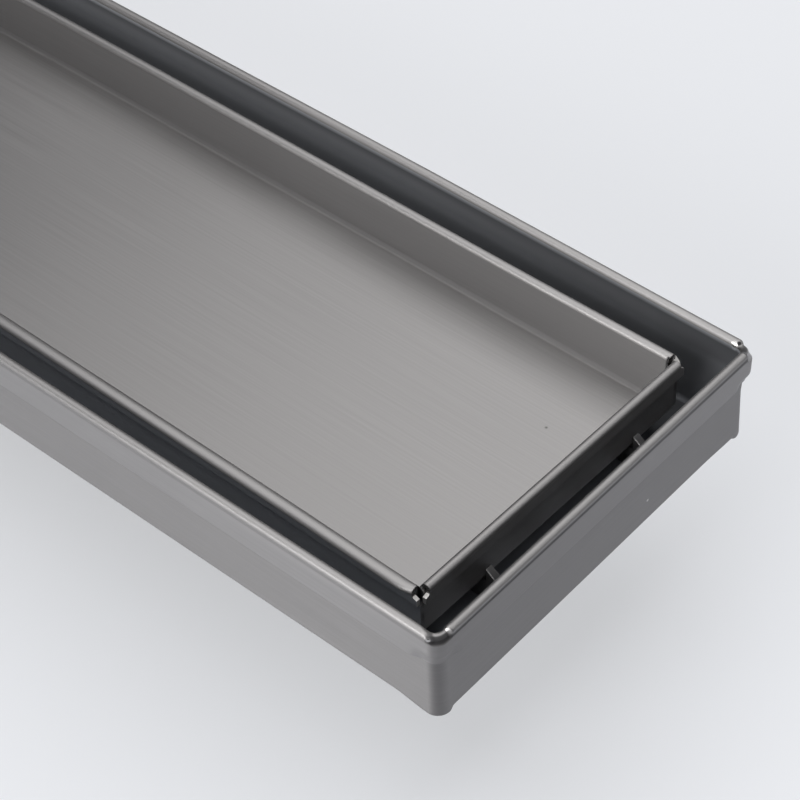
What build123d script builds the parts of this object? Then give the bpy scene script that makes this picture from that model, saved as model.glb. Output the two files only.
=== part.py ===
from build123d import *
import os

# A tile-insert linear shower drain in folded and welded stainless sheet, in millimetres. A shallow channel
# with a hemmed rim stands on its outlet spigot, and a hemmed tray for a cut tile rests in it on upright legs.
# X runs along the channel, Y across it from front to back and Z up, and the origin is the centre of the
# spigot's open lower end.

# The sheet and how it is folded
sheet = 1.0
hem_slit = 0.1
bend_inside = 1.0
bend_outside = bend_inside + sheet
hem = 2 * sheet + hem_slit
bend_end = hem + bend_inside

# Outlet spigot, a length of standard tube, and the dish pressed round it
spigot_diameter = 76.2
spigot_wall = 1.5
spigot_length = 40.0
spigot_chamfer = 0.4
bore_radius = spigot_diameter / 2 - spigot_wall
dish_depth = 1.5
dish_radius = 45.0
seat_radius = 42.0

# Channel
channel_length = 600.0
channel_width = 100.0
channel_height = 24.5
channel_hem_drop = 8.4
corner_inset = 4.2
corner_weld_radius = 2.9
corner_dip = 0.9
corner_round = 0.8
corner_foot_round = 0.8
corner_taper = 3.7
corner_ledge = 0.1
half_length = channel_length / 2
half_width = channel_width / 2
channel_base = spigot_length + dish_depth
channel_floor = channel_base + sheet
rim = channel_base + channel_height

# Tray, set down inside the channel with an even gap along each side and a wider one at each end
side_gap = 7.3
end_gap = 9.5
tray_below_rim = 3.6
tray_depth = 13.2
tray_hem_drop = 4.2
tray_corner_slit = 0.5
tray_half_length = half_length - hem - end_gap
tray_half_width = half_width - hem - side_gap
tray_rim = rim - tray_below_rim
tray_floor = tray_rim - tray_depth
tray_underside = tray_floor - sheet
tray_end_face = tray_half_length - hem + sheet

# Legs, upright plates between the channel floor and the tray
leg_thickness = 1.8
leg_places = {"front": -20.0, "back": 26.0}
end_signs = {"right": 1, "left": -1}
end_leg_reach = 34.0
toe_height = 9.0
toe_reach = 8.4
toe_tip = 2.9
middle_leg_x = 120.0
middle_leg_length = 34.0

# Hair strainer, a slotted disc that the dish holds in place
strainer_radius = 41.5
slot_width = 3.0
outer_slots, outer_slot_place, outer_slot_length = 8, 26.0, 11.0
inner_slots, inner_slot_place, inner_slot_length = 4, 12.5, 9.0

os.makedirs("parts", exist_ok=True)


def write(piece, name):
    """Label a finished piece and write it under that name."""
    piece.label = name
    export_step(piece, f"parts/{name}.step")


def bend_and_floor_edge(floor):
    """Draw the two arcs of the bend at a wall's foot and the short floor edge that joins them."""
    centre = (bend_end, floor + bend_inside)
    CenterArc(centre, bend_inside, 180, 90)
    Line((bend_end, floor), (bend_end, floor - sheet))
    CenterArc(centre, bend_outside, 180, 90)


def hemmed_wall(plane, top, floor, hem_drop):
    """Section of a wall folded up from the floor, whose top is turned out and down into a closed hem.

    It is drawn from the hem's outer face inwards: down the slit between the two layers, round the outer
    layer, over the crown, down the inside of the wall, round the bend and back up the outside.
    """
    crown = top - hem / 2
    hem_end = top - hem_drop
    bend_start = floor + bend_inside
    with BuildSketch(plane) as section:
        with BuildLine():
            Polyline((sheet, crown), (sheet, hem_end), (0, hem_end), (0, crown))
            ThreePointArc((0, crown), (hem / 2, top), (hem, crown))
            Line((hem, crown), (hem, bend_start))
            bend_and_floor_edge(floor)
            Polyline((hem - sheet, bend_start), (hem - sheet, crown), (sheet, crown))
        make_face()
    return section.sketch


def welded_wall(plane, top, floor, foot_round):
    """Section of the same wall below its hem at a welded corner, where the filled bend is sharper outside."""
    base = floor - sheet
    face = hem - sheet
    bend_start = floor + bend_inside
    with BuildSketch(plane) as section:
        with BuildLine():
            CenterArc((face + foot_round, base + foot_round), foot_round, 180, 90)
            Polyline((face + foot_round, base), (bend_end, base), (bend_end, floor))
            CenterArc((bend_end, bend_start), bend_inside, 180, 90)
            Polyline((hem, bend_start), (hem, top), (face, top), (face, base + foot_round))
        make_face()
    return section.sketch


def across_front(x, outer_face):
    """Section plane across the front wall at x, drawn inwards from its outer face."""
    return Plane(origin=(x, -outer_face, 0), x_dir=(0, 1, 0), z_dir=(1, 0, 0))


def across_end(y, outer_face):
    """Section plane across the right end wall at y, drawn inwards from its outer face."""
    return Plane(origin=(outer_face, y, 0), x_dir=(-1, 0, 0), z_dir=(0, 1, 0))


# Welded corner of the channel: the wall turned about the corner's centre, under a filled band with a
# tighter outer round that stands a little lower than the hems it joins and is ground away towards its foot
corner_x = half_length - corner_inset
corner_y = half_width - corner_inset
hem_end = rim - channel_hem_drop
with BuildPart() as corner:
    with BuildSketch(Plane.XY.offset(hem_end)) as band:
        with Locations((corner_x, -corner_y)):
            Rectangle(corner_inset, corner_inset, align=(Align.MIN, Align.MAX))
        fillet(band.vertices().sort_by(lambda point: point.X - point.Y)[-1], corner_weld_radius)
        with Locations((corner_x, -corner_y)):
            Circle(corner_inset - hem, mode=Mode.SUBTRACT)
    extrude(amount=channel_hem_drop - corner_dip)
    band_top = corner.faces().sort_by(Axis.Z)[-1]
    fillet(band_top.edges().filter_by(GeomType.CIRCLE), corner_round)
    band_foot = corner.faces().sort_by(Axis.Z)[0]
    outside = band_foot.edges().sort_by(lambda edge: edge.center().X - edge.center().Y)[-3:]
    chamfer(outside, hem - sheet - corner_ledge, corner_taper, reference=band_foot)
    revolve(
        welded_wall(across_front(corner_x, half_width), hem_end, channel_floor, corner_foot_round),
        axis=Axis((corner_x, -corner_y, 0), (0, 0, 1)),
        revolution_arc=90,
    )

# Channel: the front right quarter's folds, mirrored twice, then the floor and the dish pressed into it
with BuildPart() as channel_body:
    extrude(hemmed_wall(across_front(0, half_width), rim, channel_floor, channel_hem_drop), amount=corner_x)
    extrude(
        hemmed_wall(across_end(-corner_y, half_length), rim, channel_floor, channel_hem_drop),
        amount=corner_y,
    )
    add(corner.part)
    mirror(about=Plane.XZ)
    mirror(about=Plane.YZ)
    with BuildSketch(Plane.XY.offset(channel_base)):
        RectangleRounded(channel_length - 2 * bend_end, channel_width - 2 * bend_end, corner_inset - bend_end)
        Circle(dish_radius, mode=Mode.SUBTRACT)
    extrude(amount=sheet)
    with BuildSketch(Plane.XZ):
        with BuildLine():
            Polyline(
                (bore_radius, spigot_length),
                (seat_radius, spigot_length),
                (dish_radius, channel_base),
                (dish_radius, channel_floor),
                (seat_radius, spigot_length + sheet),
                (bore_radius, spigot_length + sheet),
                close=True,
            )
        make_face()
    revolve(axis=Axis.Z)
write(channel_body.part, "channel_body")

# Outlet spigot, welded under the dish
with BuildPart() as outlet_spigot:
    with BuildSketch():
        Circle(spigot_diameter / 2)
        Circle(bore_radius, mode=Mode.SUBTRACT)
    extrude(amount=spigot_length)
    foot = outlet_spigot.faces().sort_by(Axis.Z)[0]
    chamfer(foot.edges().sort_by(SortBy.RADIUS)[-1], spigot_chamfer)
write(outlet_spigot.part, "outlet_spigot")

# Tray: four walls folded up from one blank, the end walls cut short so that the corners stay open
end_wall_start = tray_half_width - hem - tray_corner_slit
with BuildPart() as tile_insert_tray:
    extrude(
        hemmed_wall(across_front(0, tray_half_width), tray_rim, tray_floor, tray_hem_drop),
        amount=tray_half_length - hem,
    )
    extrude(
        hemmed_wall(across_end(-end_wall_start, tray_half_length), tray_rim, tray_floor, tray_hem_drop),
        amount=end_wall_start,
    )
    mirror(about=Plane.XZ)
    mirror(about=Plane.YZ)
    with BuildSketch(Plane.XY.offset(tray_underside)):
        Rectangle(2 * (tray_half_length - bend_end), 2 * (tray_half_width - bend_end))
    extrude(amount=sheet)
write(tile_insert_tray.part, "tile_insert_tray")

# End legs: a plate under the tray that hooks up over the foot of its end wall and slopes down to a toe
end_leg_outline = (
    (tray_end_face - end_leg_reach, channel_floor),
    (tray_end_face + toe_reach, channel_floor),
    (tray_end_face + toe_reach, channel_floor + toe_tip),
    (tray_end_face, channel_floor + toe_height),
    (tray_end_face, tray_underside),
    (tray_end_face - end_leg_reach, tray_underside),
)
for end_name, end_sign in end_signs.items():
    for side_name, leg_y in leg_places.items():
        with BuildPart() as end_leg:
            with BuildSketch(Plane.XZ.offset(-leg_y)):
                with BuildLine():
                    Polyline([(end_sign * x, z) for x, z in end_leg_outline], close=True)
                make_face()
            extrude(amount=leg_thickness / 2, both=True)
        write(end_leg.part, f"end_leg_{side_name}_{end_name}")

# Middle legs: plain plates under the tray, between the outlet and the ends
for end_name, end_sign in end_signs.items():
    for side_name, leg_y in leg_places.items():
        with BuildPart() as middle_leg:
            with BuildSketch(Plane.XY.offset(channel_floor)):
                with Locations((end_sign * middle_leg_x, leg_y)):
                    Rectangle(middle_leg_length, leg_thickness)
            extrude(amount=tray_underside - channel_floor)
        write(middle_leg.part, f"middle_leg_{side_name}_{end_name}")

# Hair strainer, resting on the dish's flat seat
strainer_seat = spigot_length + sheet
with BuildPart() as hair_strainer:
    with BuildSketch(Plane.XY.offset(strainer_seat)):
        Circle(strainer_radius)
        with PolarLocations(outer_slot_place, outer_slots):
            SlotOverall(outer_slot_length, slot_width, mode=Mode.SUBTRACT)
        with PolarLocations(inner_slot_place, inner_slots):
            SlotOverall(inner_slot_length, slot_width, mode=Mode.SUBTRACT)
    extrude(amount=sheet)
write(hair_strainer.part, "hair_strainer")
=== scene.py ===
"""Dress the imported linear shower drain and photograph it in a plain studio.

The sheet pieces are made again here with fine rounds, because their small hems carry the highlights.
Lengths are in millimetres unless a name says otherwise, in the frame of the CAD: X along the channel, Y
across it from front to back and Z up.
"""

import logging
import math
from dataclasses import dataclass
from enum import Enum, IntEnum

import bmesh
import bpy
import numpy as np
from mathutils import Matrix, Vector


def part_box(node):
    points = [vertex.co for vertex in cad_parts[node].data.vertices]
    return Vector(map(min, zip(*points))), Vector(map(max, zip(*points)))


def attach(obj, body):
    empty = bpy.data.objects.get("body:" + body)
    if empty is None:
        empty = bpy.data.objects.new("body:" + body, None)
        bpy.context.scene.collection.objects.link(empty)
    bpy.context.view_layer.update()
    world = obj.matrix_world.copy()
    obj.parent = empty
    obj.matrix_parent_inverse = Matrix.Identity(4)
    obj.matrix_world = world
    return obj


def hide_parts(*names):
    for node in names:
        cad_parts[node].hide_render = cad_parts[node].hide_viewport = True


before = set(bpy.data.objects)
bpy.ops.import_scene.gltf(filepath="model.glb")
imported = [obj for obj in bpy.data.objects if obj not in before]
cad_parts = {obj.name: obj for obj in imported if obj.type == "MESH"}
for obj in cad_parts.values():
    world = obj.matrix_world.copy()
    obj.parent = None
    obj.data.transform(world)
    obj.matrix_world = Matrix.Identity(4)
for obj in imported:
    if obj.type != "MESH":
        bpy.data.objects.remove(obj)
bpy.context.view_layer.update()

LOG = logging.getLogger("linear_shower_drain")
BODY = "root"
MM = 0.001
GRAIN = "grain"
DRESSING = "dressing"
GUNMETAL_SLOT = "brushed_gunmetal"
MERGE_DISTANCE = 0.0005
SHARP_ANGLE = math.radians(38)
# What the boxes of the nodes don't tell of the folded sheets
SHEET = 1.0
DISH_DEPTH = 1.5
CHANNEL_HEM_DROP = 8.4
TRAY_HEM_DROP = 4.2
# Shares of a straight run: close to both ends, so that the rounds beside it don't shade the flat
RUN_SHARES = np.array((0.01, 0.06, 0.3, 0.5, 0.66, 0.74, 0.94, 0.99))


class Side(Enum):
    """A wall, by the direction in plan that it faces."""

    FRONT = (0.0, -1.0)
    RIGHT = (1.0, 0.0)
    BACK = (0.0, 1.0)
    LEFT = (-1.0, 0.0)

    @property
    def outward(self) -> np.ndarray:
        """The direction that the wall faces."""
        return np.array(self.value)

    @property
    def along(self) -> np.ndarray:
        """The direction along the wall, anticlockwise seen from above."""
        return np.array((-self.value[1], self.value[0]))

    @property
    def is_long(self) -> bool:
        """Whether the wall runs the length of the drain."""
        return self in (Side.FRONT, Side.BACK)


class Finish(IntEnum):
    """Which finish a grid has, by its place among the piece's materials."""

    SHEET = 0
    DULL = 1
    CUT = 2


def linear_rgba(hex_colour: str) -> tuple[float, float, float, float]:
    """Turn an sRGB hex colour into linear light by the sRGB curve.

    Args:
        hex_colour: The colour as #RRGGBB.

    Returns:
        Linear red, green and blue, and an alpha of 1.
    """
    srgb = np.array([int(hex_colour[i : i + 2], 16) for i in (1, 3, 5)]) / 255
    linear = np.where(srgb <= 0.04045, srgb / 12.92, ((srgb + 0.055) / 1.055) ** 2.4)
    return (*linear.tolist(), 1.0)


def ease(value: np.ndarray) -> np.ndarray:
    """Ease from 0 to 1 as the value goes from 0 to 1: three squares less two cubes, held flat outside."""
    held = np.clip(value, 0, 1)
    return held * held * (3 - 2 * held)


def arc(centre: tuple[float, float], radius: float, start: float, end: float, count: int) -> np.ndarray:
    """Sample an arc evenly: the centre plus the radius times the angle's cosine and sine.

    Args:
        centre: Offset and height of the centre.
        radius: Radius of the arc.
        start: First angle in degrees.
        end: Last angle in degrees.
        count: How many points to take, both ends included.

    Returns:
        One offset and height per row.
    """
    angle = np.radians(np.linspace(start, end, count))
    return np.column_stack((centre[0] + radius * np.cos(angle), centre[1] + radius * np.sin(angle)))


def run(start: np.ndarray, end: np.ndarray, shares: np.ndarray = RUN_SHARES) -> np.ndarray:
    """Sample a straight run: the start plus each share of the way to the end."""
    return np.asarray(start) + np.asarray(shares)[:, None] * (np.asarray(end) - np.asarray(start))


def lengths(points: np.ndarray) -> np.ndarray:
    """Distance travelled along a line of points, from 0 at the first."""
    return np.concatenate(((0.0,), np.cumsum(np.linalg.norm(np.diff(points, axis=0), axis=1))))


def close_columns(grid: np.ndarray) -> np.ndarray:
    """Repeat the first column of a grid after its last."""
    return np.concatenate((grid, grid[:, :1]), axis=1)


def add_node(
    tree: bpy.types.NodeTree, kind: str, settings: dict | None = None, inputs: dict | None = None
) -> bpy.types.Node:
    """Add a node to a tree, with its settings and its inputs.

    Args:
        tree: The tree to add to.
        kind: Blender's name for the kind of node.
        settings: Properties of the node to set.
        inputs: Sockets by name or number. A socket is linked, and any other value is set.

    Returns:
        The new node.
    """
    node = tree.nodes.new(kind)
    for name, value in (settings or {}).items():
        setattr(node, name, value)
    for name, value in (inputs or {}).items():
        if isinstance(value, bpy.types.NodeSocket):
            tree.links.new(value, node.inputs[name])
        else:
            node.inputs[name].default_value = value
    return node


def new_tree(owner: bpy.types.Material | bpy.types.World) -> bpy.types.NodeTree:
    """Give a material or world an empty node tree.

    Args:
        owner: The material or world.

    Returns:
        The tree.
    """
    owner.use_nodes = True
    owner.node_tree.nodes.clear()
    return owner.node_tree


class MeshMaker:
    """Gathers grids of points and makes one mesh of them."""

    def __init__(self, name: str) -> None:
        """Start an empty mesh.

        Args:
            name: Name of the piece.
        """
        self.name = name
        self.points: list[np.ndarray] = []
        self.quads: list[np.ndarray] = []
        self.grain: list[np.ndarray] = []
        self.dressing: list[np.ndarray] = []
        self.finish: list[np.ndarray] = []
        self.count = 0

    def add(
        self,
        points: np.ndarray,
        grain: np.ndarray,
        dressing: np.ndarray | None = None,
        finish: Finish = Finish.SHEET,
    ) -> None:
        """Add a grid of quads whose first side runs along the rows and whose second along the columns.

        A quad faces the cross product of the row direction with the column direction.

        Args:
            points: Grid of points, rows by columns by 3.
            grain: Across and along the grain at each point. It has one more row or column than the points
                where the grid closes on itself that way.
            dressing: How the metal was dressed at each point, and the light and shade painted on it, from -1
                where it is darkest to 1 where it is brightest, for ground bare steel and painted light alike.
            finish: Finish of the grid.
        """
        rows, columns = points.shape[:2]
        row, column = np.meshgrid(
            np.arange(grain.shape[0] - 1), np.arange(grain.shape[1] - 1), indexing="ij"
        )
        corners = ((row, column), (row + 1, column), (row + 1, column + 1), (row, column + 1))
        numbers = [(r % rows) * columns + c % columns for r, c in corners]
        self.quads.append(np.stack(numbers, axis=-1).reshape(-1, 4) + self.count)
        self.grain.append(np.stack([grain[r, c] for r, c in corners], axis=-2).reshape(-1, 2))
        self.points.append(points.reshape(-1, 3))
        self.dressing.append(np.zeros(rows * columns) if dressing is None else dressing.ravel())
        self.finish.append(np.full(row.size, finish))
        self.count += rows * columns

    def make(self, finishes: list[bpy.types.Material]) -> bpy.types.Object:
        """Make the piece, with grids that meet merged and folds sharper than a round kept sharp.

        Args:
            finishes: The piece's materials, in the order of Finish.

        Returns:
            The piece, at the origin, with its place in its mesh.
        """
        mesh = bpy.data.meshes.new(self.name)
        quads = np.concatenate(self.quads)
        mesh.vertices.add(self.count)
        mesh.vertices.foreach_set("co", (np.concatenate(self.points) * MM).astype(np.float32).ravel())
        mesh.loops.add(quads.size)
        mesh.loops.foreach_set("vertex_index", quads.astype(np.int32).ravel())
        mesh.polygons.add(len(quads))
        mesh.polygons.foreach_set("loop_start", np.arange(0, quads.size, 4, dtype=np.int32))
        mesh.polygons.foreach_set("material_index", np.concatenate(self.finish).astype(np.int32))
        mesh.update(calc_edges=True)
        layer = mesh.uv_layers.new(name=GRAIN)
        layer.data.foreach_set("uv", np.concatenate(self.grain).astype(np.float32).ravel())
        attribute = mesh.attributes.new(DRESSING, "FLOAT", "POINT")
        attribute.data.foreach_set("value", np.concatenate(self.dressing).astype(np.float32))
        shell = bmesh.new()
        shell.from_mesh(mesh)
        bmesh.ops.remove_doubles(shell, verts=shell.verts, dist=MERGE_DISTANCE * MM)
        shell.to_mesh(mesh)
        shell.free()
        mesh.shade_smooth()
        mesh.set_sharp_from_angle(angle=SHARP_ANGLE)
        piece = bpy.data.objects.new(self.name, mesh)
        bpy.context.scene.collection.objects.link(piece)
        for finish in finishes:
            mesh.materials.append(finish)
        return piece


def carry(piece: bpy.types.Object, slot: str, *nodes: str) -> bpy.types.Object:
    """Let a piece ride on the drain and stand for the nodes that it replaces.

    Args:
        piece: The piece.
        slot: The record's slot for its finish. It is not used.
        nodes: The nodes that it replaces.

    Returns:
        The piece.
    """
    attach(piece, BODY)
    if nodes:
        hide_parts(*nodes)
    LOG.info("%s: %d faces, for %s", piece.name, len(piece.data.polygons), ", ".join(nodes) or "itself")
    return piece


@dataclass(frozen=True)
class BrushedGunmetal:
    """Stainless steel sheet, brushed along its length and coated gunmetal.

    The brushing draws each light out into a soft band across the grain, and fine streaks run along it. Where
    a weld was ground the bare steel shows brighter, and a weld and a speck are darker. The bare colour also
    stands for painted light, and the dark colour for painted shade in grooves, gaps, bends and insides.
    """

    name: str = "Stainless steel, brushed and coated gunmetal"
    colour: str = "#A3A1A0"
    streak_colour: str = "#8A8887"
    # The bare colour also stands for painted light, and the unbrushed colour for painted shade
    bare_colour: str = "#E4E2DE"
    unbrushed_colour: str = "#2C2C2E"
    roughness: float = 0.42
    roughness_spread: float = 0.05
    bare_roughness: float = 0.22
    unbrushed_roughness: float = 0.85
    anisotropy: float = 0.7
    # A brush line is about 0.05 mm wide, too fine to show, so it is drawn ten times as coarse
    line_width: float = 0.5
    line_length: float = 45.0
    line_depth: float = 0.004
    cloud_size: float = 55.0
    cloud_share: float = 0.35
    # Between these the noise holds most of its values
    noise_range: tuple[float, float] = (0.25, 0.75)
    # A bright scratch on the end wall and a dark speck on the tray: place, radius and dressing
    marks: tuple[tuple[float, float, float, float, float], ...] = (
        (299.0, 15.3, 48.5, 0.5, 0.8),
        (271.6, 17.7, 49.2, 0.5, -0.6),
    )

    def streaks(self, tree: bpy.types.NodeTree) -> bpy.types.NodeSocket:
        """Draw the brush lines: noise that is stretched along the grain.

        Args:
            tree: The tree to add to.

        Returns:
            The socket with the noise.
        """
        grain = add_node(tree, "ShaderNodeUVMap", {"uv_map": GRAIN}).outputs["UV"]
        across_along = (1 / self.line_width, 1 / self.line_length, 0.0)
        stretched = add_node(
            tree, "ShaderNodeVectorMath", {"operation": "MULTIPLY"}, {0: grain, 1: across_along}
        )
        return add_node(
            tree,
            "ShaderNodeTexNoise",
            {"noise_dimensions": "2D"},
            {"Vector": stretched.outputs[0], "Scale": 1.0, "Detail": 3.0, "Roughness": 0.6},
        ).outputs["Fac"]

    def dressing(self, tree: bpy.types.NodeTree, place: bpy.types.NodeSocket) -> bpy.types.NodeSocket:
        """Read how the mesh is dressed, and add the round marks, eased by distance.

        Args:
            tree: The tree to add to.
            place: The socket with the place on the piece.

        Returns:
            The socket with the dressing: above 0 where the metal is bare and where light is painted, below 0
            where shade is painted and where the coat is darker.
        """
        dressed = add_node(tree, "ShaderNodeAttribute", {"attribute_name": DRESSING}).outputs["Fac"]
        for x, y, z, radius, tone in self.marks:
            away = add_node(
                tree,
                "ShaderNodeVectorMath",
                {"operation": "DISTANCE"},
                {0: place, 1: (x * MM, y * MM, z * MM)},
            ).outputs["Value"]
            mark = add_node(
                tree,
                "ShaderNodeMapRange",
                {"interpolation_type": "SMOOTHSTEP"},
                {"Value": away, "From Min": 0.0, "From Max": radius * MM, "To Min": tone, "To Max": 0.0},
            ).outputs["Result"]
            dressed = add_node(tree, "ShaderNodeMath", {"operation": "ADD"}, {0: dressed, 1: mark}).outputs[0]
        return dressed

    def material(self) -> bpy.types.Material:
        """Make the material: a metal streaked along its grain, lighter or darker by dressing and painted
        shade.

        Returns:
            The material.
        """
        material = bpy.data.materials.new(self.name)
        tree = new_tree(material)
        streaks = self.streaks(tree)
        place = add_node(tree, "ShaderNodeTexCoord").outputs["Object"]
        clouds = add_node(
            tree,
            "ShaderNodeTexNoise",
            None,
            {"Vector": place, "Scale": 1 / (self.cloud_size * MM), "Detail": 2.0},
        ).outputs["Fac"]
        mixed = add_node(
            tree, "ShaderNodeMix", None, {"Factor": self.cloud_share, "A": streaks, "B": clouds}
        ).outputs["Result"]
        tone = add_node(
            tree,
            "ShaderNodeMix",
            {"data_type": "RGBA"},
            {"Factor": mixed, 6: linear_rgba(self.streak_colour), 7: linear_rgba(self.colour)},
        ).outputs[2]
        # Painted light lies above 0 in the dressing and painted shade below 0, mixed into the colour here
        bare = self.dressing(tree, place)
        unbrushed = add_node(tree, "ShaderNodeMath", {"operation": "MULTIPLY"}, {0: bare, 1: -1.0}).outputs[0]
        brushed = add_node(
            tree,
            "ShaderNodeMix",
            {"data_type": "RGBA"},
            {"Factor": unbrushed, 6: tone, 7: linear_rgba(self.unbrushed_colour)},
        ).outputs[2]
        colour = add_node(
            tree,
            "ShaderNodeMix",
            {"data_type": "RGBA"},
            {"Factor": bare, 6: brushed, 7: linear_rgba(self.bare_colour)},
        ).outputs[2]
        rough = add_node(
            tree,
            "ShaderNodeMapRange",
            None,
            {
                "Value": mixed,
                "From Min": self.noise_range[0],
                "From Max": self.noise_range[1],
                "To Min": self.roughness - self.roughness_spread,
                "To Max": self.roughness + self.roughness_spread,
            },
        ).outputs["Result"]
        dull = add_node(
            tree, "ShaderNodeMix", None, {"Factor": unbrushed, "A": rough, "B": self.unbrushed_roughness}
        ).outputs["Result"]
        dressed = add_node(
            tree, "ShaderNodeMix", None, {"Factor": bare, "A": dull, "B": self.bare_roughness}
        ).outputs["Result"]
        scratched = add_node(
            tree,
            "ShaderNodeBump",
            None,
            {"Height": streaks, "Strength": 1.0, "Distance": self.line_depth * MM},
        ).outputs["Normal"]
        tangent = add_node(
            tree, "ShaderNodeTangent", {"direction_type": "UV_MAP", "uv_map": GRAIN}
        ).outputs["Tangent"]
        shader = add_node(
            tree,
            "ShaderNodeBsdfPrincipled",
            None,
            {
                "Base Color": colour,
                "Metallic": 1.0,
                "Roughness": dressed,
                "Anisotropic": self.anisotropy,
                "Tangent": tangent,
                "Normal": scratched,
            },
        )
        add_node(tree, "ShaderNodeOutputMaterial", None, {"Surface": shader.outputs[0]})
        return material


@dataclass(frozen=True)
class PickledGunmetal(BrushedGunmetal):
    """The same sheet where it was only cleaned with acid.

    It is dull and has no grain, so it takes light evenly and doesn't draw it out into a band. Its colour is
    lighter and bluer than the brushed sheet's: painted light that lifts the shade in the gaps.
    """

    name: str = "Stainless steel, pickled and coated gunmetal"
    # Lighter and bluer than the brushed sheet: painted light that lifts the gaps and the floor
    colour: str = "#B6B8BC"
    streak_colour: str = "#ABADB1"
    roughness: float = 0.8
    roughness_spread: float = 0.03
    anisotropy: float = 0.0
    line_depth: float = 0.001


@dataclass(frozen=True)
class ShearedSteel:
    """Stainless steel where the blank was cut: a bright torn edge with fine marks down it."""

    name: str = "Stainless steel, sheared edge"
    colour: str = "#E6E4E0"
    shade: str = "#C9C7C3"
    roughness: float = 0.55
    # Shear marks are about 0.1 mm apart, drawn three times as coarse to show
    mark_width: float = 0.3

    def material(self) -> bpy.types.Material:
        """Make the material: a bright metal whose tone breaks up in small marks.

        Returns:
            The material.
        """
        material = bpy.data.materials.new(self.name)
        tree = new_tree(material)
        place = add_node(tree, "ShaderNodeTexCoord").outputs["Object"]
        marks = add_node(
            tree,
            "ShaderNodeTexNoise",
            None,
            {"Vector": place, "Scale": 1 / (self.mark_width * MM), "Detail": 2.0},
        ).outputs["Fac"]
        tone = add_node(
            tree,
            "ShaderNodeMix",
            {"data_type": "RGBA"},
            {"Factor": marks, 6: linear_rgba(self.shade), 7: linear_rgba(self.colour)},
        ).outputs[2]
        shader = add_node(
            tree,
            "ShaderNodeBsdfPrincipled",
            None,
            {"Base Color": tone, "Metallic": 1.0, "Roughness": self.roughness},
        )
        add_node(tree, "ShaderNodeOutputMaterial", None, {"Surface": shader.outputs[0]})
        return material


@dataclass(frozen=True)
class MillStainless:
    """Stainless steel as it leaves the rolling mill: a pale, slightly cloudy metal with a dull gloss."""

    name: str = "Stainless steel, cold-rolled mill finish"
    colour: str = "#C6C4C0"
    shade: str = "#B3B1AE"
    roughness: float = 0.32
    cloud_size: float = 6.0
    pit_size: float = 0.6
    pit_depth: float = 0.006

    def material(self) -> bpy.types.Material:
        """Make the material: a pale metal with soft clouds and a fine pebbled surface.

        Returns:
            The material.
        """
        material = bpy.data.materials.new(self.name)
        tree = new_tree(material)
        place = add_node(tree, "ShaderNodeTexCoord").outputs["Object"]
        clouds = add_node(
            tree,
            "ShaderNodeTexNoise",
            None,
            {"Vector": place, "Scale": 1 / (self.cloud_size * MM), "Detail": 4.0},
        ).outputs["Fac"]
        pits = add_node(
            tree,
            "ShaderNodeTexNoise",
            None,
            {"Vector": place, "Scale": 1 / (self.pit_size * MM), "Detail": 1.0},
        ).outputs["Fac"]
        tone = add_node(
            tree,
            "ShaderNodeMix",
            {"data_type": "RGBA"},
            {"Factor": clouds, 6: linear_rgba(self.shade), 7: linear_rgba(self.colour)},
        ).outputs[2]
        pitted = add_node(
            tree,
            "ShaderNodeBump",
            None,
            {"Height": pits, "Strength": 1.0, "Distance": self.pit_depth * MM},
        ).outputs["Normal"]
        shader = add_node(
            tree,
            "ShaderNodeBsdfPrincipled",
            None,
            {"Base Color": tone, "Metallic": 1.0, "Roughness": self.roughness, "Normal": pitted},
        )
        add_node(tree, "ShaderNodeOutputMaterial", None, {"Surface": shader.outputs[0]})
        return material


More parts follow.
